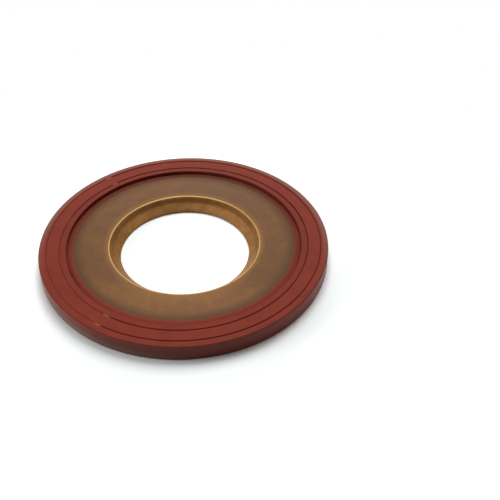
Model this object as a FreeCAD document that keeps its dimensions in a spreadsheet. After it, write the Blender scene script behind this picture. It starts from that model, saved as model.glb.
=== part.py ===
"""Shaft seal: a moulded rubber ring bonded round the edge of a pressed steel plate.

The plate has a funnel-shaped collar round its bore, drawn down towards the seal's base.
Lengths are in millimetres and angles in degrees. The origin is on the axis, in the plane
that the seal stands on, and +Z points out of the grooved sealing face.
"""
import FreeCAD, Part
import os

import Sketcher

# Driving sizes: name, value, what it measures
SIZES = (
    ("outer_diameter", 120.0, "rubber ring, across its outside"),
    ("ring_height", 7.0, "rubber ring, base to sealing face"),
    ("bore_diameter", 54.0, "steel collar, across its bore"),
    ("outer_land_width", 2.8, "sealing face, outside the outer groove"),
    ("middle_land_width", 4.65, "sealing face, between the two grooves"),
    ("inner_land_width", 2.35, "sealing face, inside the inner groove"),
    ("face_groove_width", 0.65, "each sealing face groove, at the face"),
    ("face_groove_floor", 0.17, "each sealing face groove, at its floor"),
    ("face_groove_depth", 0.4, "each sealing face groove, below the face"),
    ("relief_width", 0.7, "deep groove between the sealing face and the lip, at its mouth"),
    ("relief_floor_width", 0.2, "deep groove, at its floor"),
    ("relief_depth", 0.75, "deep groove, below the lip's outer edge"),
    ("lip_slope_width", 1.9, "rubber lip, its outer part that slopes down to the deep groove"),
    ("lip_fall", 0.55, "rubber lip, from its level rim down to its outer edge"),
    ("lip_rim_width", 0.55, "rubber lip, its level rim on the plate"),
    ("lip_thickness", 0.1, "rubber lip, level rim above the plate"),
    ("edge_overlap", 0.45, "plate's edge, in under the lip"),
    ("seat_width", 2.25, "rubber under the plate's edge"),
    ("outer_corner_radius", 0.55, "sealing face, outer corner"),
    ("face_corner_radius", 0.12, "sealing face, corner at the deep groove"),
    ("plate_recess", 0.9, "top of the plate, below the sealing face"),
    ("sheet_thickness", 1.0, "steel sheet"),
    ("bend_inner_radius", 1.5, "bend from plate to collar, inside"),
    ("upper_slope", 56.0, "collar below the bend, from level"),
    ("lower_slope", 47.0, "collar below the crease, from level"),
    ("upper_drop", 2.5, "top of the plate to the collar's crease"),
    ("land_height", 0.75, "straight wall at the end of the collar"),
    ("collar_gap", 0.15, "end of the collar, above the seal's base"),
    ("pierced_edge_radius", 0.15, "collar's end, at the bore"),
)
SHEET = "sizes"
FULL_TURN = 360.0
EDGE_TOLERANCE = 1e-4


def sized(formula):
    """Point each name of SIZES in a formula at its cell in the sheet."""
    words = formula.replace("(", "( ").replace(")", " )").split()
    names = {name for name, _, _ in SIZES}
    return " ".join(SHEET + "." + word if word in names else word for word in words)


# Radii and heights that both pieces share, as formulas on the driving sizes
OUTSIDE = "outer_diameter / 2"
OUTER_GROOVE = OUTSIDE + " - outer_land_width"
INNER_GROOVE = OUTER_GROOVE + " - face_groove_width - middle_land_width"
FACE_INSIDE = INNER_GROOVE + " - face_groove_width - inner_land_width"
LIP_OUTSIDE = FACE_INSIDE + " - relief_width"
RIM_OUTSIDE = LIP_OUTSIDE + " - lip_slope_width"
LIP_INSIDE = RIM_OUTSIDE + " - lip_rim_width"
PLATE_EDGE = LIP_INSIDE + " + edge_overlap"
SEAT_INSIDE = PLATE_EDGE + " - seat_width"
BORE = "bore_diameter / 2"

BASE = "0"
FACE = "ring_height"
PLATE_TOP = "ring_height - plate_recess"
PLATE_UNDER = PLATE_TOP + " - sheet_thickness"
LIP_TOP = PLATE_TOP + " + lip_thickness"
LIP_LOW = LIP_TOP + " - lip_fall"
RELIEF_FLOOR = LIP_LOW + " - relief_depth"


def make_sheet(doc):
    """Put the driving sizes in a spreadsheet, one row each, under their own names."""
    sheet = doc.addObject("Spreadsheet::Sheet", SHEET)
    for row, (name, value, note) in enumerate(SIZES, start=1):
        sheet.set(f"A{row}", name)
        sheet.set(f"B{row}", str(value))
        sheet.set(f"C{row}", note)
        sheet.setAlias(f"B{row}", name)
    doc.recompute()
    return sheet


def make_body(doc, label):
    """Start a named piece at the common origin."""
    body = doc.addObject("PartDesign::Body", label)
    body.Label = label
    body.Placement = FreeCAD.Placement()
    return body


def axial_plane(body):
    """Find the body's own XZ plane, which holds every section of a turned shape."""
    return next(item for item in body.Origin.OriginFeatures if item.Role == "XZ_Plane")


def section_sketch(body, name, corners):
    """Draw a closed outline of straight lines through (name, radius, height) corners.

    A line between two corners of the same radius is vertical and one between two of the
    same height is level, so that each radius and each height is dimensioned once.
    """
    sketch = body.newObject("Sketcher::SketchObject", name)
    sketch.AttachmentSupport = [(axial_plane(body), "")]
    sketch.MapMode = "FlatFace"
    radii = [sized(radius) for _, radius, _ in corners]
    heights = [sized(height) for _, _, height in corners]
    points = [
        FreeCAD.Vector(float(sketch.evalExpression(radius)), float(sketch.evalExpression(height)), 0)
        for radius, height in zip(radii, heights)
    ]
    count = len(corners)
    for index in range(count):
        sketch.addGeometry(Part.LineSegment(points[index], points[(index + 1) % count]), False)
    for index in range(count):
        sketch.addConstraint(Sketcher.Constraint("Coincident", index - 1 if index else count - 1, 2, index, 1))
    for index, (corner, _, _) in enumerate(corners):
        line_before = index - 1 if index else count - 1
        if radii[index] == radii[line_before]:
            sketch.addConstraint(Sketcher.Constraint("Vertical", line_before))
        else:
            dimension(sketch, "DistanceX", index, points[index].x, corner + "_radius", radii[index])
        if heights[index] == heights[line_before]:
            sketch.addConstraint(Sketcher.Constraint("Horizontal", line_before))
        elif heights[index] == BASE:
            sketch.addConstraint(Sketcher.Constraint("PointOnObject", index, 1, -1))
        else:
            dimension(sketch, "DistanceY", index, points[index].y, corner + "_height", heights[index])
    return sketch


def dimension(sketch, kind, line, value, name, formula):
    """Hold the start of a line at a distance from the origin that the sheet sets."""
    number = sketch.addConstraint(Sketcher.Constraint(kind, -1, 1, line, 1, value))
    sketch.renameConstraint(number, name)
    sketch.setExpression("Constraints." + name, formula)


def turn(body, kind, name, sketch):
    """Turn a section round the axis: a Revolution adds material, a Groove removes it."""
    feature = body.newObject("PartDesign::" + kind, name)
    feature.Profile = sketch
    feature.ReferenceAxis = (sketch, ["V_Axis"])
    feature.Angle = FULL_TURN
    body.Document.recompute()
    return feature


def circle_edges(feature, radius, height):
    """Name the feature's circular edges of one radius at one height."""
    wanted_radius = float(feature.evalExpression(sized(radius)))
    wanted_height = float(feature.evalExpression(sized(height)))
    found = []
    for number, edge in enumerate(feature.Shape.Edges, start=1):
        if not isinstance(edge.Curve, Part.Circle):
            continue
        same_radius = abs(edge.Curve.Radius - wanted_radius) < EDGE_TOLERANCE
        same_height = abs(edge.Curve.Center.z - wanted_height) < EDGE_TOLERANCE
        if same_radius and same_height:
            found.append(f"Edge{number}")
    if not found:
        raise ValueError(f"{feature.Name} has no edge at {radius}, {height}")
    return found


def round_edges(body, name, places, size):
    """Round the circular edges at the given (radius, height) places."""
    base = body.Tip
    fillet = body.newObject("PartDesign::Fillet", name)
    fillet.Base = (base, [edge for place in places for edge in circle_edges(base, *place)])
    fillet.setExpression("Radius", sized(size))
    body.Document.recompute()
    return fillet


def make_rubber_ring(doc):
    """Moulded ring: sealing face with two fine grooves, deep groove, and lip on the plate's edge.

    The lip is level where it lies on the plate and slopes down outwards to the deep
    groove, which is a notch between the end of that slope and the face's inner wall.
    """
    body = make_body(doc, "rubber_ring")
    outline = section_sketch(body, "ring_section", (
        ("base_outside", OUTSIDE, BASE),
        ("face_outside", OUTSIDE, FACE),
        ("face_inside", FACE_INSIDE, FACE),
        ("relief_outside", FACE_INSIDE, RELIEF_FLOOR),
        ("relief_inside", FACE_INSIDE + " - relief_floor_width", RELIEF_FLOOR),
        ("lip_outside", LIP_OUTSIDE, LIP_LOW),
        ("rim_outside", RIM_OUTSIDE, LIP_TOP),
        ("lip_inside", LIP_INSIDE, LIP_TOP),
        ("lip_foot", LIP_INSIDE, PLATE_TOP),
        ("slot_top", PLATE_EDGE, PLATE_TOP),
        ("slot_floor", PLATE_EDGE, PLATE_UNDER),
        ("seat_inside", SEAT_INSIDE, PLATE_UNDER),
        ("base_inside", SEAT_INSIDE, BASE),
    ))
    turn(body, "Revolution", "ring", outline)
    for name, outside in (("outer", OUTER_GROOVE), ("inner", INNER_GROOVE)):
        cut_face_groove(body, name, outside)
    round_edges(body, "outer_corner", [(OUTSIDE, FACE)], "outer_corner_radius")
    round_edges(body, "face_corner", [(FACE_INSIDE, FACE)], "face_corner_radius")
    return body


def cut_face_groove(body, name, outside):
    """Cut one fine groove in the sealing face, narrower at its floor than at the face."""
    inside = outside + " - face_groove_width"
    taper = "( face_groove_width - face_groove_floor ) / 2"
    floor = FACE + " - face_groove_depth"
    outline = section_sketch(body, name + "_groove_section", (
        ("mouth_outside", outside, FACE),
        ("mouth_inside", inside, FACE),
        ("floor_inside", inside + " + " + taper, floor),
        ("floor_outside", outside + " - " + taper, floor),
    ))
    before = body.Tip.Shape.Volume
    groove = turn(body, "Groove", name + "_face_groove", outline)
    if groove.Shape.Volume >= before:
        raise ValueError(groove.Name + " removes nothing")


def make_steel_plate(doc):
    """Pressed plate of one sheet, bent down round the bore into a collar of two slopes.

    The underside is the top moved by the sheet's thickness along its normals. Where two
    straight stretches meet, the corner moves along the line that halves their angle.
    """
    land_top = "collar_gap + land_height"
    lower_drop = f"( {PLATE_TOP} - upper_drop - ( {land_top} ) )"
    crease = f"{BORE} + {lower_drop} / tan( lower_slope )"
    bend = f"{crease} + upper_drop / tan( upper_slope )"
    half_turn = "( 1 + cos( upper_slope - lower_slope ) )"
    crease_out = f"sheet_thickness * ( sin( upper_slope ) + sin( lower_slope ) ) / {half_turn}"
    crease_down = f"sheet_thickness * ( cos( upper_slope ) + cos( lower_slope ) ) / {half_turn}"
    crease_height = PLATE_TOP + " - upper_drop"
    bend_under = f"{bend} + sheet_thickness * tan( upper_slope / 2 )"
    land_under = f"{land_top} - sheet_thickness * tan( 45 - lower_slope / 2 )"
    collar_outside = BORE + " + sheet_thickness"

    body = make_body(doc, "steel_plate")
    outline = section_sketch(body, "plate_section", (
        ("edge_top", PLATE_EDGE, PLATE_TOP),
        ("bend_top", bend, PLATE_TOP),
        ("crease_top", crease, crease_height),
        ("land_top", BORE, land_top),
        ("end_inside", BORE, "collar_gap"),
        ("end_outside", collar_outside, "collar_gap"),
        ("land_under", collar_outside, land_under),
        ("crease_under", f"{crease} + {crease_out}", f"{crease_height} - {crease_down}"),
        ("bend_under", bend_under, PLATE_UNDER),
        ("edge_under", PLATE_EDGE, PLATE_UNDER),
    ))
    turn(body, "Revolution", "plate", outline)
    round_edges(body, "bend_outside", [(bend, PLATE_TOP)], "bend_inner_radius + sheet_thickness")
    round_edges(body, "bend_inside", [(bend_under, PLATE_UNDER)], "bend_inner_radius")
    round_edges(body, "pierced_edge", [(BORE, "collar_gap")], "pierced_edge_radius")
    return body


def check(doc, pieces):
    """Stop if any object failed to build or any piece isn't one valid solid."""
    for item in doc.Objects:
        if "Invalid" in item.State or "Error" in item.State:
            raise ValueError(f"{item.Name} failed: {item.State}")
    for piece in pieces:
        if piece.Shape.isNull() or not piece.Shape.isValid() or len(piece.Shape.Solids) != 1:
            raise ValueError(piece.Label + " isn't one valid solid")


def main():
    doc = FreeCAD.newDocument("shaft_seal")
    make_sheet(doc)
    pieces = (make_rubber_ring(doc), make_steel_plate(doc))
    doc.recompute()
    check(doc, pieces)
    os.makedirs("parts", exist_ok=True)
    for piece in pieces:
        piece.Shape.exportStep(f"parts/{piece.Label}.step")
        print(f"{piece.Label}: {piece.Shape.Volume:.1f} mm3, height {piece.Shape.BoundBox.ZLength:.3f} mm")


main()
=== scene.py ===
"""Shaft seal: a brown-red moulded rubber ring bonded round a pressed steel plate.

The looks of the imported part. Both pieces are turned round the seal's axis from their
sections. Everything is in metres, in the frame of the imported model: Z is the axis and
the seal stands on z = 0. Places on the sections and in the materials are in
millimetres, as on a drawing.
"""
import math

import bpy
from mathutils import Matrix, Vector


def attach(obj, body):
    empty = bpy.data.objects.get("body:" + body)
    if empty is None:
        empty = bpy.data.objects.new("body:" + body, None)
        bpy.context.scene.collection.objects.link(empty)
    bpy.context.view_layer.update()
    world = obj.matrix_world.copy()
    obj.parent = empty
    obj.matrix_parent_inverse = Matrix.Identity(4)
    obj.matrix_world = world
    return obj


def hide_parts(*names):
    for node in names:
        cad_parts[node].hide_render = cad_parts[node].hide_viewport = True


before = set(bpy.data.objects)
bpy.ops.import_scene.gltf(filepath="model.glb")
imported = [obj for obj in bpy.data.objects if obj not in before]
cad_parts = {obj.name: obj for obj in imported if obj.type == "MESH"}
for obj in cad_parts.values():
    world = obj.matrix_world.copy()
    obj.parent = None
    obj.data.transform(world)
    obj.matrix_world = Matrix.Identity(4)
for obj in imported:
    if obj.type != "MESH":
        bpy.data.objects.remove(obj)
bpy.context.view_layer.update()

MM = 0.001
PER_METRE = 1000.0

# Radii and heights shared by the two pieces, in millimetres
OUTSIDE = 60.0
FACE = 7.0
PLATE_TOP = 6.1
PLATE_EDGE = 46.2
SHEET = 1.0
PLATE_UNDER = PLATE_TOP - SHEET

# Rubber ring: its seat, the outer land's fall to the corner, the deep groove, the lip and its rim
SEAT_INSIDE = 43.95
EDGE_FALL, EDGE_FALL_WIDTH = 0.09, 1.9
FACE_INSIDE, RELIEF_FLOOR, RELIEF_DRAFT = 48.9, 4.9, 0.15
LIP_OUTSIDE, LIP_LOW = 48.2, 5.65
LIP_KNEE, LIP_KNEE_HEIGHT = 47.1, 6.03
RIM_OUTSIDE, RIM_TOP = 46.3, 6.18
RIM_EDGE, RIM_EDGE_TOP = 45.84, 6.19
LIP_INSIDE = 45.72

# Fine grooves, each from its outer to its inner edge
OUTER_GROOVE, INNER_GROOVE = (57.2, 56.55), (51.9, 51.25)
GROOVE_DEPTH, GROOVE_TAPER = 0.4, 0.24

# Middle of the land between the fine grooves, and how far from it each groove's middle lies
MIDDLE_LAND = (OUTER_GROOVE[1] + INNER_GROOVE[0]) / 2
GROOVE_OFFSET = (sum(OUTER_GROOVE) - sum(INNER_GROOVE)) / 4

# The fine grooves are part filled over one arc, and a spot of flash bridges them at each end of it
ARC_MIDDLE = math.radians(185.0)
ARC_REACH = math.radians(54.0)
ARC_FILL = 0.18
OUTER_FILL_SHARE, INNER_FILL_SHARE = 1.2, 1.0
FLASH_FILL = 0.11
FLASH_REACH = math.radians(2.2)

# The collar's outline: where its straight stretches meet, above and one sheet thickness below
BORE, LAND_TOP, COLLAR_END = 27.0, 0.9, 0.15
CREASE, CREASE_HEIGHT = 29.518, 3.6
BEND = 31.204
UNDER_LAND_TOP = 0.506
UNDER_CREASE, UNDER_CREASE_HEIGHT = 30.303, 2.976
UNDER_BEND = 31.736

# Radius of the circle that each section is turned on, how finely, and how much the lip's edge wanders
STEPS_ROUND = 512
RUBBER_PATH, RUBBER_CORNER_STEPS = 50.0, 5
PLATE_PATH, PLATE_CORNER_STEPS = 35.0, 8
WAVER, WAVERS_PER_METRE = 0.35, 180.0

# Widths of the patterns, and the pitch of the mould's tool marks, in millimetres
RUBBER_CLOUDS, BLOOM_PATCHES, GRAIN = 9.0, 4.0, 0.7
COAT_BLOTCHES, COAT_CLOUDS, CRYSTALS = 5.0, 8.0, 0.7
MARK_PITCH = 0.6

# Sides of the seal, each by the places along Y where it begins and where it is full
# Painted shade in the grooves and on the lip lies on the first side, painted light on the lip on the second
SHADED_SIDE, LIT_LIP_SIDE = (-22.0, 45.0), (-10.0, -45.0)
# Painted sheen on the outer edge lies on the first side, painted shade on the wall on the second.
# The third darkens the land inside the inner groove.
SHEEN_SIDE, SHADED_WALL_SIDE, INNER_LAND_SIDE = (-30.0, 25.0), (-46.0, -57.0), (-32.0, -6.0)
# A painted highlight and glow on the plate lie on the first side.
# A redder stain and painted light on the collar lie on the second.
# Painted shade at the collar's foot and a painted highlight on the burnished line lie on the third.
PLATE_GLOW_SIDE, PLUS_Y_SIDE, BACK_SIDE = (-18.0, -36.0), (-6.0, 30.0), (18.0, 31.0)

# Bands round the axis, each by the radii where it begins and where it is full
# The first band holds painted shade on the lip
LIP_SHADE, THIN_LIP = (48.1, 46.8), (47.0, 45.9)
STAIN, COLLAR = (41.8, 47.8), (32.2, 31.4)

# Radius where the painted golden glow near the bend is fullest, and radius of the burnished line
BEND_GLOW_END, BURNISHED = 31.8, 31.46

# Painted floor reflection on the wall's foot round this angle, from the first height down to the second
FLOOR_GLOW_SIDE = math.radians(232.0)
FLOOR_GLOW_HEIGHTS = (4.6, 0.8)

# The wall's own material starts this far inside the outside radius
WALL_SKIN = 0.1

# The paper floor, in metres, lies a hair below the seal and ends where its light still reaches white
FLOOR_RADIUS, FLOOR_DROP, FLOOR_CORNERS = 0.16, 0.00003, 96
PAPER_FOR_LIGHT, PAPER_SEEN = (0.7, 0.7, 0.7, 1.0), (1.3, 1.37, 1.36, 1.0)
ROOM_FOR_LIGHT, ROOM_SEEN = (0.09, 0.09, 0.09, 1.0), (1.0, 1.0, 1.0, 1.0)

# Each lamp's name, its azimuth and elevation in degrees, its side in metres and its power in watts.
# All of them are as far from the seal, in metres.
LAMP_DISTANCE = 1.2
LAMPS = (
    ("back_softbox", 78.0, 58.0, 0.8, 9.1),
    ("overhead_panel", 90.0, 82.0, 0.6, 1.6),
    ("low_back_panel", 95.0, 20.0, 0.6, 4.3),
    ("left_panel", 181.0, 22.0, 0.6, 5.1),
)

# The photograph's viewpoint, worked out from the ring's own circles
VIEW_FOCAL = 817.5
VIEW_DISTANCE = 5.709
VIEW_ELEVATION = math.radians(41.19)
VIEW_ROLL = math.radians(0.41)
VIEW_CENTRE = (183.94, 239.34)
NEAR_CLIP, FAR_CLIP = 0.01, 20.0
IMAGE_SIDE = 500
IMAGE_MIDDLE = (IMAGE_SIDE - 1) / 2
SENSOR = 36.0


def linear(hex_colour):
    """Turn an sRGB colour such as #8A4033 to the linear one that the shaders take."""
    parts = [int(hex_colour[start:start + 2], 16) / 255 for start in (1, 3, 5)]
    return [part / 12.92 if part <= 0.04045 else ((part + 0.055) / 1.055) ** 2.4 for part in parts] + [1.0]


def add(tree, kind, links=None, **settings):
    """Add a node. Links gives each input, by name or number, a value or another node's output."""
    node = tree.nodes.new(kind)
    for name, value in settings.items():
        setattr(node, name, value)
    for name, value in (links or {}).items():
        if isinstance(value, bpy.types.NodeSocket):
            tree.links.new(value, node.inputs[name])
        else:
            node.inputs[name].default_value = value
    return node


def corner(radius, height, rounding=0.0, wavers=0.0, fills=0.0):
    """Corner of a section: its place, its radius, and its share in the waver and the groove fill."""
    return radius, height, rounding, wavers, fills


def rubber_section():
    """Outline of the rubber ring, from its foot over the sealing face and the lip to the seat."""
    corners = [
        corner(OUTSIDE, 0.0, 0.25),
        corner(OUTSIDE, FACE - EDGE_FALL, 0.6),
        corner(OUTSIDE - EDGE_FALL_WIDTH, FACE, 6.0),
    ]
    for (outer, inner), fill in ((OUTER_GROOVE, OUTER_FILL_SHARE), (INNER_GROOVE, INNER_FILL_SHARE)):
        corners += [
            corner(outer, FACE, 0.05),
            corner(outer - GROOVE_TAPER, FACE - GROOVE_DEPTH, 0.08, fills=fill),
            corner(inner + GROOVE_TAPER, FACE - GROOVE_DEPTH, 0.08, fills=fill),
            corner(inner, FACE, 0.05),
        ]
    corners += [
        corner(FACE_INSIDE, FACE, 0.12),
        corner(FACE_INSIDE - RELIEF_DRAFT, RELIEF_FLOOR, 0.12),
        corner(LIP_OUTSIDE, LIP_LOW, 0.3),
        corner(LIP_KNEE, LIP_KNEE_HEIGHT, 0.6),
        corner(RIM_OUTSIDE, RIM_TOP, 0.3),
        corner(RIM_EDGE, RIM_EDGE_TOP, 0.08, wavers=1.0),
        corner(LIP_INSIDE, PLATE_TOP, wavers=1.0),
        corner(PLATE_EDGE, PLATE_TOP),
        corner(PLATE_EDGE, PLATE_UNDER),
        corner(SEAT_INSIDE, PLATE_UNDER, 0.15),
        corner(SEAT_INSIDE, 0.0, 0.25),
    ]
    return corners


def plate_section():
    """Outline of the steel sheet: flat ring, bend, collar in two slopes, straight land."""
    return [
        corner(PLATE_EDGE, PLATE_TOP),
        corner(BEND, PLATE_TOP, 2.5),
        corner(CREASE, CREASE_HEIGHT, 15.0),
        corner(BORE, LAND_TOP, 0.4),
        corner(BORE, COLLAR_END, 0.15),
        corner(BORE + SHEET, COLLAR_END, 0.08),
        corner(BORE + SHEET, UNDER_LAND_TOP, 0.5),
        corner(UNDER_CREASE, UNDER_CREASE_HEIGHT, 14.0),
        corner(UNDER_BEND, PLATE_UNDER, 1.5),
        corner(PLATE_EDGE, PLATE_UNDER),
    ]


def round_the_axis(tree, place):
    """Level vector from the axis to a place, its direction and its length."""
    level = add(tree, "ShaderNodeVectorMath", {0: place, 1: (1.0, 1.0, 0.0)}, operation="MULTIPLY").outputs[0]
    outward = add(tree, "ShaderNodeVectorMath", {0: level}, operation="NORMALIZE").outputs[0]
    radius = add(tree, "ShaderNodeVectorMath", {0: level}, operation="LENGTH").outputs["Value"]
    return level, outward, radius


def angle_from(tree, outward, middle):
    """Angle on the axis between a level unit vector and the direction at the angle middle."""
    across = add(tree, "ShaderNodeMath", {0: middle}, operation="COSINE")
    along = add(tree, "ShaderNodeMath", {0: middle}, operation="SINE")
    towards = add(tree, "ShaderNodeCombineXYZ", {"X": across.outputs[0], "Y": along.outputs[0]})
    facing = add(tree, "ShaderNodeVectorMath", {0: outward, 1: towards.outputs[0]}, operation="DOT_PRODUCT")
    return add(tree, "ShaderNodeMath", {0: facing.outputs["Value"]}, operation="ARCCOSINE").outputs[0]


def turning_tree():
    """Node tree that rounds a section's corners and turns it into a closed ring.

    The rim that the section marks for it wanders in and out a little, as the edge of
    rubber that has flowed over a plate does. The floors that it marks for it lie higher
    over one arc, and higher still at the two ends of that arc. What lies further out than
    the wall's radius takes the wall's material.
    """
    tree = bpy.data.node_groups.new("turned_ring", "GeometryNodeTree")
    sockets = tree.interface
    sockets.new_socket("Geometry", in_out="INPUT", socket_type="NodeSocketGeometry")
    for name, kind in (
        ("Path radius", "NodeSocketFloat"),
        ("Steps round", "NodeSocketInt"),
        ("Steps per corner", "NodeSocketInt"),
        ("Waver", "NodeSocketFloat"),
        ("Wavers per metre", "NodeSocketFloat"),
        ("Seed", "NodeSocketFloat"),
        ("Arc middle", "NodeSocketFloat"),
        ("Arc reach", "NodeSocketFloat"),
        ("Arc fill", "NodeSocketFloat"),
        ("Flash reach", "NodeSocketFloat"),
        ("Flash fill", "NodeSocketFloat"),
        ("Material", "NodeSocketMaterial"),
        ("Wall radius", "NodeSocketFloat"),
        ("Wall material", "NodeSocketMaterial"),
    ):
        sockets.new_socket(name, in_out="INPUT", socket_type=kind)
    sockets.new_socket("Geometry", in_out="OUTPUT", socket_type="NodeSocketGeometry")
    sizes = add(tree, "NodeGroupInput").outputs

    # The section, rounded at its corners and turned
    outline = add(tree, "GeometryNodeMeshToCurve", {"Mesh": sizes["Geometry"]})
    rounding = add(tree, "GeometryNodeInputNamedAttribute", {"Name": "corner_radius"}, data_type="FLOAT")
    rounded = add(tree, "GeometryNodeFilletCurve", {
        "Curve": outline.outputs["Curve"], "Radius": rounding.outputs["Attribute"],
        "Count": sizes["Steps per corner"], "Limit Radius": True,
    }, mode="POLY")
    path = add(tree, "GeometryNodeCurvePrimitiveCircle", {
        "Radius": sizes["Path radius"], "Resolution": sizes["Steps round"],
    })
    inward = add(tree, "ShaderNodeMath", {0: sizes["Path radius"], 1: -1.0}, operation="MULTIPLY")
    offset = add(tree, "ShaderNodeCombineXYZ", {"X": inward.outputs[0]})
    section = add(tree, "GeometryNodeTransform", {
        "Geometry": rounded.outputs["Curve"], "Translation": offset.outputs[0], "Scale": (1.0, -1.0, 1.0),
    })
    ring = add(tree, "GeometryNodeCurveToMesh", {
        "Curve": path.outputs["Curve"], "Profile Curve": section.outputs["Geometry"],
    })
    outside_out = add(tree, "GeometryNodeFlipFaces", {"Mesh": ring.outputs["Mesh"]})

    # Waver of the marked rim
    place = add(tree, "GeometryNodeInputPosition").outputs[0]
    level, outward, radius = round_the_axis(tree, place)
    wander = add(tree, "ShaderNodeTexNoise", {
        "Vector": level, "W": sizes["Seed"], "Scale": sizes["Wavers per metre"], "Detail": 3.0,
    }, noise_dimensions="4D")
    centred = add(tree, "ShaderNodeMath", {0: wander.outputs[0], 1: -0.5}, operation="ADD")
    rim = add(tree, "GeometryNodeInputNamedAttribute", {"Name": "waver_share"}, data_type="FLOAT")
    shared = add(tree, "ShaderNodeMath", {0: centred.outputs[0], 1: rim.outputs["Attribute"]},
                 operation="MULTIPLY")
    amount = add(tree, "ShaderNodeMath", {0: shared.outputs[0], 1: sizes["Waver"]}, operation="MULTIPLY")
    shift = add(tree, "ShaderNodeVectorMath", {0: outward, "Scale": amount.outputs[0]}, operation="SCALE")

    # Fill of the marked floors
    angle = angle_from(tree, outward, sizes["Arc middle"])
    past_end = add(tree, "ShaderNodeMath", {0: angle, 1: sizes["Arc reach"]}, operation="SUBTRACT").outputs[0]
    filled = add(tree, "ShaderNodeMapRange", {
        "Value": past_end, "From Min": sizes["Flash reach"], "From Max": 0.0, "To Max": sizes["Arc fill"],
    }, interpolation_type="SMOOTHSTEP")
    off_end = add(tree, "ShaderNodeMath", {0: past_end}, operation="ABSOLUTE")
    flash = add(tree, "ShaderNodeMapRange", {
        "Value": off_end.outputs[0], "From Min": sizes["Flash reach"], "From Max": 0.0,
        "To Max": sizes["Flash fill"],
    }, interpolation_type="SMOOTHSTEP")
    both = add(tree, "ShaderNodeMath", {0: filled.outputs[0], 1: flash.outputs[0]}, operation="ADD")
    floors = add(tree, "GeometryNodeInputNamedAttribute", {"Name": "fill_share"}, data_type="FLOAT")
    rise = add(tree, "ShaderNodeMath", {0: both.outputs[0], 1: floors.outputs["Attribute"]},
               operation="MULTIPLY")
    upward = add(tree, "ShaderNodeCombineXYZ", {"Z": rise.outputs[0]})
    total = add(tree, "ShaderNodeVectorMath", {0: shift.outputs["Vector"], 1: upward.outputs[0]})
    moved = add(tree, "GeometryNodeSetPosition", {
        "Geometry": outside_out.outputs["Mesh"], "Offset": total.outputs["Vector"],
    })

    # Materials
    smooth = add(tree, "GeometryNodeSetShadeSmooth", {"Geometry": moved.outputs["Geometry"]})
    real = add(tree, "GeometryNodeRealizeInstances", {"Geometry": smooth.outputs["Geometry"]})
    dressed = add(tree, "GeometryNodeSetMaterial", {
        "Geometry": real.outputs["Geometry"], "Material": sizes["Material"],
    })
    on_wall = add(tree, "FunctionNodeCompare", {0: radius, 1: sizes["Wall radius"]}, operation="GREATER_THAN")
    walled = add(tree, "GeometryNodeSetMaterial", {
        "Geometry": dressed.outputs["Geometry"], "Selection": on_wall.outputs["Result"],
        "Material": sizes["Wall material"],
    })
    add(tree, "NodeGroupOutput", {"Geometry": walled.outputs["Geometry"]})
    return tree


def section_mesh(name, corners):
    """Closed outline of a section in the plane of radius and height, with its marks as attributes."""
    mesh = bpy.data.meshes.new(name)
    points = [(place[0] * MM, place[1] * MM, 0.0) for place in corners]
    count = len(points)
    mesh.from_pydata(points, [(index, (index + 1) % count) for index in range(count)], [])
    for label, column, unit in (("corner_radius", 2, MM), ("waver_share", 3, 1.0), ("fill_share", 4, 1.0)):
        layer = mesh.attributes.new(label, "FLOAT", "POINT")
        layer.data.foreach_set("value", [place[column] * unit for place in corners])
    return mesh


def turned_piece(name, corners, tree, inputs):
    """Turn a section into a plain mesh, with the normals of the wide faces kept flat."""
    piece = bpy.data.objects.new(name, section_mesh(name + "_section", corners))
    bpy.context.scene.collection.objects.link(piece)
    turning = piece.modifiers.new("turning", "NODES")
    turning.node_group = tree
    for item in tree.interface.items_tree:
        if item.in_out == "INPUT" and item.name in inputs:
            turning[item.identifier] = inputs[item.name]
    piece.modifiers.new("flat_faces", "WEIGHTED_NORMAL")
    graph = bpy.context.evaluated_depsgraph_get()
    mesh = bpy.data.meshes.new_from_object(piece.evaluated_get(graph), preserve_all_data_layers=True,
                                           depsgraph=graph)
    piece.modifiers.clear()
    piece.data = mesh
    mesh.name = name
    return piece


def new_material(name):
    """Start an empty node material and give its tree."""
    material = bpy.data.materials.new(name)
    material.use_nodes = True
    material.node_tree.nodes.clear()
    return material, material.node_tree


def place_in_mm(tree):
    """Where a point lies in millimetres: its place, its direction from the axis, radius, Y and height."""
    coordinate = add(tree, "ShaderNodeTexCoord")
    place = add(tree, "ShaderNodeVectorMath", {0: coordinate.outputs["Object"], "Scale": PER_METRE},
                operation="SCALE").outputs["Vector"]
    outward, radius = round_the_axis(tree, place)[1:]
    parts = add(tree, "ShaderNodeSeparateXYZ", {"Vector": place}).outputs
    return place, outward, radius, parts["Y"], parts["Z"]


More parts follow.
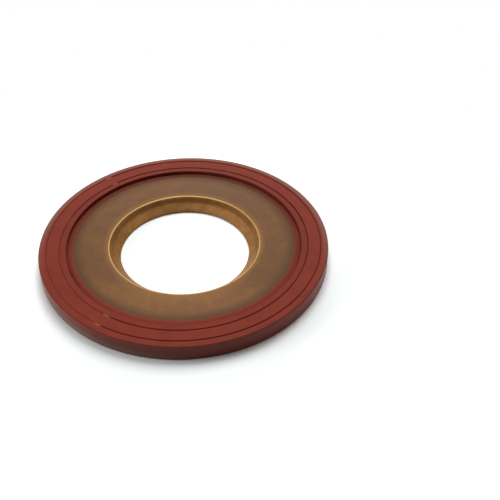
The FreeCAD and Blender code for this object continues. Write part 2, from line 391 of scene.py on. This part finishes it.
def moulded_rubber(name, gloss, roughness_range, shaded_tone):
    """Compression-moulded fluorocarbon rubber, brown-red, unpolished.

    The eye sees a flat, slightly waxy brown-red with soft clouds, fine round marks of the
    turned mould on the sealing face, a thin dusty bloom and an outer edge made paler by
    painted sheen. The mould's polished side leaves the outer wall with more gloss. Painted
    shade darkens the fine grooves and the lip towards +Y, painted light brightens the lip
    towards -Y, and painted glints sit at two spots in the fine grooves. A painted reflection
    of the floor greys the wall's foot round one side, and painted shade darkens the part
    towards -Y to the share given as the last argument.
    """
    material, tree = new_material(name)
    place, outward, radius, along, height = place_in_mm(tree)

    # Painted shade lies towards +Y, in the fine grooves and on the lip
    shaded_side = add(tree, "ShaderNodeMapRange", {
        "Value": along, "From Min": SHADED_SIDE[0], "From Max": SHADED_SIDE[1],
    }, interpolation_type="SMOOTHSTEP")

    # Clouds about 9 mm across, where the compound flowed and cured unevenly
    clouds = add(tree, "ShaderNodeTexNoise", {
        "Vector": place, "Scale": 1 / RUBBER_CLOUDS, "Detail": 3.0, "Roughness": 0.55,
    })
    cloud_share = add(tree, "ShaderNodeMapRange", {
        "Value": clouds.outputs["Fac"], "From Min": 0.3, "From Max": 0.7,
    }, interpolation_type="SMOOTHSTEP")
    body = add(tree, "ShaderNodeMix", {
        "Factor": cloud_share.outputs["Result"], 6: linear("#803224"), 7: linear("#8A392A"),
    }, data_type="RGBA")

    # Grain of filler in the compound, drawn 0.7 mm wide so that it shows at this size
    grain = add(tree, "ShaderNodeTexNoise", {
        "Vector": place, "Scale": 1 / GRAIN, "Detail": 2.0, "Roughness": 0.6,
    })
    grain_tone = add(tree, "ShaderNodeMapRange", {
        "Value": grain.outputs["Fac"], "From Min": 0.25, "From Max": 0.75, "To Min": 0.93, "To Max": 1.07,
    })
    grained = add(tree, "ShaderNodeVectorMath", {
        0: body.outputs[2], "Scale": grain_tone.outputs["Result"],
    }, operation="SCALE")

    # Painted shade on the floors of the fine grooves, most of it in the inner one towards +Y
    inner_one = add(tree, "ShaderNodeMath", {0: radius, 1: MIDDLE_LAND}, operation="LESS_THAN")
    inner_groove_shade = add(tree, "ShaderNodeMath", {0: inner_one.outputs[0], 1: shaded_side.outputs["Result"]},
                     operation="MULTIPLY")
    most_shade = add(tree, "ShaderNodeMapRange", {
        "Value": inner_groove_shade.outputs[0], "To Min": 0.12, "To Max": 0.95,
    })
    deep = add(tree, "ShaderNodeMapRange", {
        "Value": height, "From Min": FACE - 0.04, "From Max": FACE - 0.22,
        "To Max": most_shade.outputs["Result"],
    }, interpolation_type="SMOOTHSTEP")
    on_face = add(tree, "ShaderNodeMath", {0: radius, 1: FACE_INSIDE + 1.0}, operation="GREATER_THAN")
    inside_wall = add(tree, "ShaderNodeMath", {0: radius, 1: OUTSIDE - 1.0}, operation="LESS_THAN")
    grooved = add(tree, "ShaderNodeMath", {0: on_face.outputs[0], 1: inside_wall.outputs[0]},
                  operation="MULTIPLY")
    groove_shade_share = add(tree, "ShaderNodeMath", {0: deep.outputs["Result"], 1: grooved.outputs[0]},
                     operation="MULTIPLY")
    groove_shaded = add(tree, "ShaderNodeMix", {
        "Factor": groove_shade_share.outputs[0], 6: grained.outputs["Vector"], 7: linear("#260E0A"),
    }, data_type="RGBA")

    # Painted sheen: the outer edge paler from the outer groove outwards, strongest towards +Y
    edge_sheen = add(tree, "ShaderNodeMapRange", {
        "Value": radius, "From Min": OUTER_GROOVE[0], "From Max": OUTSIDE - 1.3,
    }, interpolation_type="SMOOTHSTEP")
    top_only = add(tree, "ShaderNodeMapRange", {
        "Value": height, "From Min": FACE - 0.7, "From Max": FACE - 0.15,
    }, interpolation_type="SMOOTHSTEP")
    top_edge_sheen = add(tree, "ShaderNodeMath", {0: edge_sheen.outputs["Result"], 1: top_only.outputs["Result"]},
                 operation="MULTIPLY")
    sheen_side_share = add(tree, "ShaderNodeMapRange", {
        "Value": along, "From Min": SHEEN_SIDE[0], "From Max": SHEEN_SIDE[1],
        "To Min": 0.05, "To Max": 0.95,
    }, interpolation_type="SMOOTHSTEP")
    sheen_share = add(tree, "ShaderNodeMath", {0: top_edge_sheen.outputs[0], 1: sheen_side_share.outputs["Result"]},
                    operation="MULTIPLY")
    sheened = add(tree, "ShaderNodeMix", {
        "Factor": sheen_share.outputs[0], 6: groove_shaded.outputs[2], 7: linear("#8C6051"),
    }, data_type="RGBA")

    # Lip: painted light on it towards -Y, painted shade along it towards +Y, thin at its edge
    inner_part = add(tree, "ShaderNodeMapRange", {
        "Value": radius, "From Min": FACE_INSIDE, "From Max": FACE_INSIDE - 0.4,
    }, interpolation_type="SMOOTHSTEP")
    lit_lip_side = add(tree, "ShaderNodeMapRange", {
        "Value": along, "From Min": LIT_LIP_SIDE[0], "From Max": LIT_LIP_SIDE[1],
    }, interpolation_type="SMOOTHSTEP")
    lit_lip_share = add(tree, "ShaderNodeMath", {
        0: inner_part.outputs["Result"], 1: lit_lip_side.outputs["Result"],
    }, operation="MULTIPLY")
    lip_lit = add(tree, "ShaderNodeMix", {
        "Factor": lit_lip_share.outputs[0], 6: sheened.outputs[2], 7: linear("#913F2F"),
    }, data_type="RGBA")
    # Painted shade along the lip towards +Y
    lip_shade = add(tree, "ShaderNodeMapRange", {
        "Value": radius, "From Min": LIP_SHADE[0], "From Max": LIP_SHADE[1], "To Max": 0.66,
    }, interpolation_type="SMOOTHSTEP")
    lip_shade_share = add(tree, "ShaderNodeMath", {
        0: lip_shade.outputs["Result"], 1: shaded_side.outputs["Result"],
    }, operation="MULTIPLY")
    lip_shaded = add(tree, "ShaderNodeMix", {
        "Factor": lip_shade_share.outputs[0], 6: lip_lit.outputs[2], 7: linear("#2A120E"),
    }, data_type="RGBA")
    thin = add(tree, "ShaderNodeMapRange", {
        "Value": radius, "From Min": THIN_LIP[0], "From Max": THIN_LIP[1], "To Max": 0.5,
    }, interpolation_type="SMOOTHSTEP")
    soiled = add(tree, "ShaderNodeMix", {
        "Factor": thin.outputs["Result"], 6: lip_shaded.outputs[2], 7: linear("#6B4634"),
    }, data_type="RGBA")

    # Grey-brown dust in the deep groove
    past_wall = add(tree, "ShaderNodeMapRange", {
        "Value": radius, "From Min": FACE_INSIDE + 0.1, "From Max": FACE_INSIDE - 0.1, "To Max": 0.32,
    }, interpolation_type="SMOOTHSTEP")
    off_lip = add(tree, "ShaderNodeMapRange", {
        "Value": radius, "From Min": LIP_OUTSIDE - 0.5, "From Max": LIP_OUTSIDE,
        "To Max": past_wall.outputs["Result"],
    }, interpolation_type="SMOOTHSTEP")
    under_face = add(tree, "ShaderNodeMapRange", {
        "Value": height, "From Min": FACE - 0.1, "From Max": FACE - 0.5, "To Max": off_lip.outputs["Result"],
    }, interpolation_type="SMOOTHSTEP")
    settled = add(tree, "ShaderNodeMix", {
        "Factor": under_face.outputs["Result"], 6: soiled.outputs[2], 7: linear("#5F4A42"),
    }, data_type="RGBA")

    # Painted glints: pale spots where flash bridges the fine grooves at the two ends of the filled arc
    angle = angle_from(tree, outward, ARC_MIDDLE)
    past_end = add(tree, "ShaderNodeMath", {0: angle, 1: -ARC_REACH}, operation="ADD")
    off_end = add(tree, "ShaderNodeMath", {0: past_end.outputs[0]}, operation="ABSOLUTE")
    spot = add(tree, "ShaderNodeMapRange", {
        "Value": off_end.outputs[0], "From Min": FLASH_REACH, "From Max": 0.3 * FLASH_REACH,
    }, interpolation_type="SMOOTHSTEP")
    from_middle = add(tree, "ShaderNodeMath", {0: radius, 1: -MIDDLE_LAND}, operation="ADD")
    from_land = add(tree, "ShaderNodeMath", {0: from_middle.outputs[0]}, operation="ABSOLUTE")
    from_groove = add(tree, "ShaderNodeMath", {0: from_land.outputs[0], 1: -GROOVE_OFFSET}, operation="ADD")
    off_groove = add(tree, "ShaderNodeMath", {0: from_groove.outputs[0]}, operation="ABSOLUTE")
    in_groove = add(tree, "ShaderNodeMapRange", {
        "Value": off_groove.outputs[0], "From Min": 0.55, "From Max": 0.2, "To Max": 0.75,
    }, interpolation_type="SMOOTHSTEP")
    glint_share = add(tree, "ShaderNodeMath", {0: spot.outputs["Result"], 1: in_groove.outputs["Result"]},
                      operation="MULTIPLY")
    glinted = add(tree, "ShaderNodeMix", {
        "Factor": glint_share.outputs[0], 6: settled.outputs[2], 7: linear("#A06A58"),
    }, data_type="RGBA")

    # Bloom: a thin grey dust in patches about 4 mm wide
    bloom = add(tree, "ShaderNodeTexNoise", {
        "Vector": place, "Scale": 1 / BLOOM_PATCHES, "Detail": 4.0, "Roughness": 0.7,
    })
    bloom_share = add(tree, "ShaderNodeMapRange", {
        "Value": bloom.outputs["Fac"], "From Min": 0.5, "From Max": 0.8, "To Max": 0.06,
    })
    dusty = add(tree, "ShaderNodeMix", {
        "Factor": bloom_share.outputs["Result"], 6: glinted.outputs[2], 7: linear("#A27A6C"),
    }, data_type="RGBA")

    # Painted reflection of the bright floor: the wall greyer near its foot, round one side
    off_side = angle_from(tree, outward, FLOOR_GLOW_SIDE)
    floor_glow_side = add(tree, "ShaderNodeMapRange", {
        "Value": off_side, "From Min": math.radians(60.0), "From Max": math.radians(10.0), "To Max": 0.6,
    }, interpolation_type="SMOOTHSTEP")
    low = add(tree, "ShaderNodeMapRange", {
        "Value": height, "From Min": FLOOR_GLOW_HEIGHTS[0], "From Max": FLOOR_GLOW_HEIGHTS[1],
        "To Max": floor_glow_side.outputs["Result"],
    }, interpolation_type="SMOOTHSTEP")
    floor_glowed = add(tree, "ShaderNodeMix", {
        "Factor": low.outputs["Result"], 6: dusty.outputs[2], 7: linear("#9B8F7F"),
    }, data_type="RGBA")

    # Painted shade on the part furthest towards -Y
    wall_shade = add(tree, "ShaderNodeMapRange", {
        "Value": along, "From Min": SHADED_WALL_SIDE[0], "From Max": SHADED_WALL_SIDE[1],
        "To Min": 1.0, "To Max": shaded_tone,
    }, interpolation_type="SMOOTHSTEP")
    wall_shaded = add(tree, "ShaderNodeVectorMath", {0: floor_glowed.outputs[2], "Scale": wall_shade.outputs["Result"]},
                operation="SCALE")

    # The land inside the inner groove, a tenth darker away from the side towards -Y
    past_groove = add(tree, "ShaderNodeMapRange", {
        "Value": radius, "From Min": INNER_GROOVE[1] + 0.4, "From Max": INNER_GROOVE[1],
    })
    to_edge = add(tree, "ShaderNodeMapRange", {
        "Value": radius, "From Min": FACE_INSIDE - 0.1, "From Max": FACE_INSIDE + 0.2,
        "To Max": past_groove.outputs["Result"],
    })
    inner_land_side = add(tree, "ShaderNodeMapRange", {
        "Value": along, "From Min": INNER_LAND_SIDE[0], "From Max": INNER_LAND_SIDE[1],
        "To Max": to_edge.outputs["Result"],
    }, interpolation_type="SMOOTHSTEP")
    inner_land_tone = add(tree, "ShaderNodeMapRange", {
        "Value": inner_land_side.outputs["Result"], "To Min": 1.0, "To Max": 0.9,
    })
    made_darker = add(tree, "ShaderNodeVectorMath", {
        0: wall_shaded.outputs["Vector"], "Scale": inner_land_tone.outputs["Result"],
    }, operation="SCALE")

    # Round tool marks of the mould, 0.6 mm apart, on the level faces
    turns = add(tree, "ShaderNodeMath", {0: radius, 1: math.tau / MARK_PITCH}, operation="MULTIPLY")
    marks = add(tree, "ShaderNodeMath", {0: turns.outputs[0]}, operation="SINE")
    mark_height = add(tree, "ShaderNodeMath", {0: marks.outputs[0], 1: 0.12}, operation="MULTIPLY")
    relief = add(tree, "ShaderNodeMath", {0: grain.outputs["Fac"], 1: mark_height.outputs[0]},
                 operation="ADD")
    bump = add(tree, "ShaderNodeBump", {
        "Strength": 0.5, "Distance": 0.03 * MM, "Height": relief.outputs[0],
    })
    roughness = add(tree, "ShaderNodeMapRange", {
        "Value": clouds.outputs["Fac"], "From Min": 0.3, "From Max": 0.7,
        "To Min": roughness_range[0], "To Max": roughness_range[1],
    })
    shader = add(tree, "ShaderNodeBsdfPrincipled", {
        "Base Color": made_darker.outputs["Vector"], "Roughness": roughness.outputs["Result"], "IOR": 1.42,
        "Specular IOR Level": gloss, "Normal": bump.outputs["Normal"],
    })
    add(tree, "ShaderNodeOutputMaterial", {"Surface": shader.outputs["BSDF"]})
    return material


def coated_steel():
    """Phosphated mild steel sheet with a coat of bonding agent, pressed.

    The eye sees a mottled bronze brown with a satin shine, a bend rubbed down to a golden
    line, a darker stretch below it that is in part painted shade, and a grey-brown stain
    where the coat meets the rubber. A painted highlight and a painted golden glow by the bend
    brighten the plate towards -Y; painted light brightens the collar and the burnished line
    towards +Y, and painted shade darkens the collar's foot there.
    """
    material, tree = new_material("phosphated_pressed_steel")
    place, _, radius, along, height = place_in_mm(tree)

    # Phosphate coat that took unevenly: duller and more golden brown blotches about 5 mm wide
    blotches = add(tree, "ShaderNodeTexNoise", {
        "Vector": place, "Scale": 1 / COAT_BLOTCHES, "Detail": 4.0, "Roughness": 0.6, "Distortion": 0.8,
    })
    blotch_share = add(tree, "ShaderNodeMapRange", {
        "Value": blotches.outputs["Fac"], "From Min": 0.36, "From Max": 0.64,
    }, interpolation_type="SMOOTHSTEP")
    coat = add(tree, "ShaderNodeMix", {
        "Factor": blotch_share.outputs["Result"], 6: linear("#7C5437"), 7: linear("#845C38"),
    }, data_type="RGBA")

    # Where the coat ran thicker: darker olive-brown clouds about 8 mm wide
    clouds = add(tree, "ShaderNodeTexNoise", {
        "Vector": place, "Scale": 1 / COAT_CLOUDS, "Detail": 3.0, "Distortion": 0.5,
    })
    cloud_share = add(tree, "ShaderNodeMapRange", {
        "Value": clouds.outputs["Fac"], "From Min": 0.42, "From Max": 0.66, "To Max": 0.45,
    })
    clouded = add(tree, "ShaderNodeMix", {
        "Factor": cloud_share.outputs["Result"], 6: coat.outputs[2], 7: linear("#6B5337"),
    }, data_type="RGBA")

    # Crystals of the coat, drawn 0.7 mm wide so that they show at this size
    crystals = add(tree, "ShaderNodeTexNoise", {
        "Vector": place, "Scale": 1 / CRYSTALS, "Detail": 2.0, "Roughness": 0.6,
    })
    crystal_tone = add(tree, "ShaderNodeMapRange", {
        "Value": crystals.outputs["Fac"], "From Min": 0.25, "From Max": 0.75, "To Min": 0.91, "To Max": 1.09,
    })
    speckled = add(tree, "ShaderNodeVectorMath", {
        0: clouded.outputs[2], "Scale": crystal_tone.outputs["Result"],
    }, operation="SCALE")

    # Painted highlight: the plate brighter towards -Y
    near_glow = add(tree, "ShaderNodeMapRange", {
        "Value": along, "From Min": PLATE_GLOW_SIDE[0], "From Max": PLATE_GLOW_SIDE[1],
        "To Min": 0.94, "To Max": 1.28,
    }, interpolation_type="SMOOTHSTEP")
    near_glowed = add(tree, "ShaderNodeVectorMath", {
        0: speckled.outputs["Vector"], "Scale": near_glow.outputs["Result"],
    }, operation="SCALE")

    # Painted glow: golden near the bend, widest towards -Y
    bend_glow_start = add(tree, "ShaderNodeMapRange", {
        "Value": along, "From Min": PLATE_GLOW_SIDE[0], "From Max": PLATE_GLOW_SIDE[1],
        "To Min": 34.0, "To Max": 38.5,
    }, interpolation_type="SMOOTHSTEP")
    bend_glow = add(tree, "ShaderNodeMapRange", {
        "Value": radius, "From Min": bend_glow_start.outputs["Result"], "From Max": BEND_GLOW_END,
        "To Max": 0.45,
    })
    bend_glowed = add(tree, "ShaderNodeMix", {
        "Factor": bend_glow.outputs["Result"], 6: near_glowed.outputs["Vector"], 7: linear("#A87C46"),
    }, data_type="RGBA")

    # Grey-brown stain next to the lip, with a ragged inner edge, redder towards +Y
    plus_y_share = add(tree, "ShaderNodeMapRange", {
        "Value": along, "From Min": PLUS_Y_SIDE[0], "From Max": PLUS_Y_SIDE[1],
    }, interpolation_type="SMOOTHSTEP")
    stain_colour = add(tree, "ShaderNodeMix", {
        "Factor": plus_y_share.outputs["Result"], 6: linear("#523C2E"), 7: linear("#582F14"),
    }, data_type="RGBA")
    ragged = add(tree, "ShaderNodeMath", {0: crystals.outputs["Fac"], 1: 2.4}, operation="MULTIPLY")
    stain_place = add(tree, "ShaderNodeMath", {0: radius, 1: ragged.outputs[0]}, operation="ADD")
    stain = add(tree, "ShaderNodeMapRange", {
        "Value": stain_place.outputs[0], "From Min": STAIN[0], "From Max": STAIN[1], "To Max": 0.76,
    }, interpolation_type="SMOOTHSTEP")
    stained = add(tree, "ShaderNodeMix", {
        "Factor": stain.outputs["Result"], 6: bend_glowed.outputs[2], 7: stain_colour.outputs[2],
    }, data_type="RGBA")

    # Collar: darker down to the crease, in part painted shade, and more golden below it, in part painted
    # light that grows towards +Y
    collar = add(tree, "ShaderNodeMapRange", {
        "Value": radius, "From Min": COLLAR[0], "From Max": COLLAR[1],
    }, interpolation_type="SMOOTHSTEP")
    darkened = add(tree, "ShaderNodeMix", {
        "Factor": collar.outputs["Result"], 6: stained.outputs[2], 7: linear("#8C6134"),
    }, data_type="RGBA")
    below_crease = add(tree, "ShaderNodeMapRange", {
        "Value": height, "From Min": CREASE_HEIGHT + 0.7, "From Max": CREASE_HEIGHT - 0.4,
    }, interpolation_type="SMOOTHSTEP")
    golden = add(tree, "ShaderNodeMix", {
        "Factor": plus_y_share.outputs["Result"], 6: linear("#9A6C39"), 7: linear("#C08850"),
    }, data_type="RGBA")
    collared = add(tree, "ShaderNodeMix", {
        "Factor": below_crease.outputs["Result"], 6: darkened.outputs[2], 7: golden.outputs[2],
    }, data_type="RGBA")

    # Painted shade: towards +Y the collar's foot is darker
    back_side = add(tree, "ShaderNodeMapRange", {
        "Value": along, "From Min": BACK_SIDE[0], "From Max": BACK_SIDE[1],
    }, interpolation_type="SMOOTHSTEP")
    foot_shade_share = add(tree, "ShaderNodeMapRange", {"Value": back_side.outputs["Result"], "To Max": 0.38})
    foot = add(tree, "ShaderNodeMapRange", {
        "Value": height, "From Min": 2.2, "From Max": 0.8, "To Max": foot_shade_share.outputs["Result"],
    }, interpolation_type="SMOOTHSTEP")
    made_darker = add(tree, "ShaderNodeMix", {
        "Factor": foot.outputs["Result"], 6: collared.outputs[2], 7: linear("#5E4028"),
    }, data_type="RGBA")

    # Streaks and blotches on the collar
    patchy = add(tree, "ShaderNodeMapRange", {
        "Value": blotches.outputs["Fac"], "From Min": 0.32, "From Max": 0.68, "To Min": 0.8, "To Max": 1.2,
    })
    collar_tone = add(tree, "ShaderNodeMapRange", {
        "Value": collar.outputs["Result"], "To Min": 1.0, "To Max": patchy.outputs["Result"],
    })
    mottled = add(tree, "ShaderNodeVectorMath", {
        0: made_darker.outputs[2], "Scale": collar_tone.outputs["Result"],
    }, operation="SCALE")

    # Burnished line where the punch rubbed the bend, with a painted highlight that makes it brighter towards
    # +Y
    off_line = add(tree, "ShaderNodeMath", {0: radius, 1: -BURNISHED}, operation="ADD")
    distance = add(tree, "ShaderNodeMath", {0: off_line.outputs[0]}, operation="ABSOLUTE")
    uneven = add(tree, "ShaderNodeMapRange", {"Value": blotches.outputs["Fac"], "To Min": 0.3, "To Max": 0.6})
    burnish = add(tree, "ShaderNodeMapRange", {
        "Value": distance.outputs[0], "From Min": uneven.outputs["Result"], "From Max": 0.05,
    }, interpolation_type="SMOOTHSTEP")
    burnish_share = add(tree, "ShaderNodeMath", {0: burnish.outputs["Result"], 1: 0.85}, operation="MULTIPLY")
    bright = add(tree, "ShaderNodeMix", {
        "Factor": back_side.outputs["Result"], 6: linear("#CAA165"), 7: linear("#E1B87A"),
    }, data_type="RGBA")
    burnished = add(tree, "ShaderNodeMix", {
        "Factor": burnish_share.outputs[0], 6: mottled.outputs["Vector"], 7: bright.outputs[2],
    }, data_type="RGBA")

    roughness = add(tree, "ShaderNodeMapRange", {
        "Value": blotches.outputs["Fac"], "From Min": 0.3, "From Max": 0.7, "To Min": 0.44, "To Max": 0.54,
    })
    bump = add(tree, "ShaderNodeBump", {
        "Strength": 0.5, "Distance": 0.02 * MM, "Height": crystals.outputs["Fac"],
    })
    bare = add(tree, "ShaderNodeMath", {0: burnish.outputs["Result"], 1: 0.35}, operation="MULTIPLY")
    shader = add(tree, "ShaderNodeBsdfPrincipled", {
        "Base Color": burnished.outputs[2], "Roughness": roughness.outputs["Result"],
        "Metallic": bare.outputs[0], "Specular IOR Level": 0.05, "Normal": bump.outputs["Normal"],
    })
    add(tree, "ShaderNodeOutputMaterial", {"Surface": shader.outputs["BSDF"]})
    return material


def seen_ray(tree):
    """One for what the camera sees, by itself or in a mirror or through glass, and nought for light."""
    path = add(tree, "ShaderNodeLightPath")
    mirrored = add(tree, "ShaderNodeMath", {
        0: path.outputs["Is Glossy Ray"], 1: path.outputs["Is Transmission Ray"],
    }, operation="MAXIMUM")
    seen = add(tree, "ShaderNodeMath", {0: path.outputs["Is Camera Ray"], 1: mirrored.outputs[0]},
               operation="MAXIMUM")
    return seen.outputs[0]


def floor():
    """Plain pale paper that keeps the seal's shadow."""
    bpy.ops.mesh.primitive_circle_add(vertices=FLOOR_CORNERS, radius=FLOOR_RADIUS, fill_type="NGON",
                                      location=(0, 0, 0))
    sheet = bpy.context.object
    sheet.name = "floor"
    sheet.data.transform(Matrix.Translation((0.0, 0.0, -FLOOR_DROP)))
    material, tree = new_material("matt_white_paper")
    tone = add(tree, "ShaderNodeMix", {
        "Factor": seen_ray(tree), 6: PAPER_FOR_LIGHT, 7: PAPER_SEEN,
    }, data_type="RGBA")
    paper = add(tree, "ShaderNodeBsdfDiffuse", {"Color": tone.outputs[2]})
    add(tree, "ShaderNodeOutputMaterial", {"Surface": paper.outputs["BSDF"]})
    sheet.data.materials.append(material)


def room():
    """White surroundings that give only a dim light."""
    world = bpy.data.worlds.new("white_room_that_lights_dimly")
    bpy.context.scene.world = world
    world.use_nodes = True
    tree = world.node_tree
    tree.nodes.clear()
    tone = add(tree, "ShaderNodeMix", {
        "Factor": seen_ray(tree), 6: ROOM_FOR_LIGHT, 7: ROOM_SEEN,
    }, data_type="RGBA")
    background = add(tree, "ShaderNodeBackground", {"Color": tone.outputs[2]})
    add(tree, "ShaderNodeOutputWorld", {"Surface": background.outputs["Background"]})


def lamps():
    """A soft lamp high behind the seal and three panels, all facing its middle."""
    for name, azimuth, elevation, side, power in LAMPS:
        lamp = bpy.data.lights.new(name, "AREA")
        lamp.size = side
        lamp.energy = power
        holder = bpy.data.objects.new(name, lamp)
        turn, rise = math.radians(azimuth), math.radians(elevation)
        place = Vector((math.cos(turn) * math.cos(rise), math.sin(turn) * math.cos(rise), math.sin(rise)))
        holder.location = place * LAMP_DISTANCE
        holder.rotation_euler = place.to_track_quat("Z", "Y").to_euler()
        bpy.context.scene.collection.objects.link(holder)


def camera():
    """Camera at the photograph's viewpoint, with its framing."""
    back = Vector((0.0, -math.cos(VIEW_ELEVATION), math.sin(VIEW_ELEVATION)))
    side = Vector((1.0, 0.0, 0.0))
    up = back.cross(side)
    turn = Matrix((side, up, back)).transposed() @ Matrix.Rotation(VIEW_ROLL, 3, "Z")
    ray = Vector(((VIEW_CENTRE[0] - IMAGE_MIDDLE) / VIEW_FOCAL,
                  (IMAGE_MIDDLE - VIEW_CENTRE[1]) / VIEW_FOCAL, -1.0)).normalized()
    place = -(turn @ (ray * VIEW_DISTANCE)) * OUTSIDE * MM + Vector((0.0, 0.0, FACE * MM))
    lens = bpy.data.cameras.new("camera")
    lens.sensor_width = SENSOR
    lens.lens = VIEW_FOCAL / IMAGE_SIDE * SENSOR
    lens.clip_start = NEAR_CLIP
    lens.clip_end = FAR_CLIP
    holder = bpy.data.objects.new("camera", lens)
    holder.matrix_world = Matrix.Translation(place) @ turn.to_4x4()
    bpy.context.scene.collection.objects.link(holder)
    bpy.context.scene.camera = holder


def main():
    bpy.context.scene.view_settings.view_transform = "Standard"
    tree = turning_tree()
    face_rubber = moulded_rubber("compression_moulded_brown_rubber", gloss=0.06,
                                 roughness_range=(0.52, 0.64), shaded_tone=1.0)
    wall_rubber = moulded_rubber("brown_rubber_pressed_on_the_mould_wall", gloss=0.3,
                                 roughness_range=(0.36, 0.48), shaded_tone=0.68)
    rubber = turned_piece("moulded_rubber_ring", rubber_section(), tree, {
        "Path radius": RUBBER_PATH * MM, "Steps round": STEPS_ROUND, "Steps per corner": RUBBER_CORNER_STEPS,
        "Waver": WAVER * MM, "Wavers per metre": WAVERS_PER_METRE, "Seed": 3.0,
        "Arc middle": ARC_MIDDLE, "Arc reach": ARC_REACH, "Arc fill": ARC_FILL * MM,
        "Flash reach": FLASH_REACH, "Flash fill": FLASH_FILL * MM,
        "Material": face_rubber, "Wall radius": (OUTSIDE - WALL_SKIN) * MM, "Wall material": wall_rubber,
    })
    steel = coated_steel()
    plate = turned_piece("pressed_steel_plate", plate_section(), tree, {
        "Path radius": PLATE_PATH * MM, "Steps round": STEPS_ROUND, "Steps per corner": PLATE_CORNER_STEPS,
        "Waver": 0.0, "Wavers per metre": WAVERS_PER_METRE, "Seed": 1.0, "Material": steel,
        "Wall radius": OUTSIDE * MM, "Wall material": steel,
    })
    for piece, node, slot in ((rubber, "rubber_ring", "rubber"), (plate, "steel_plate", "steel")):
        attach(piece, "root")
        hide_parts(node)
    floor()
    room()
    lamps()
    camera()


main()
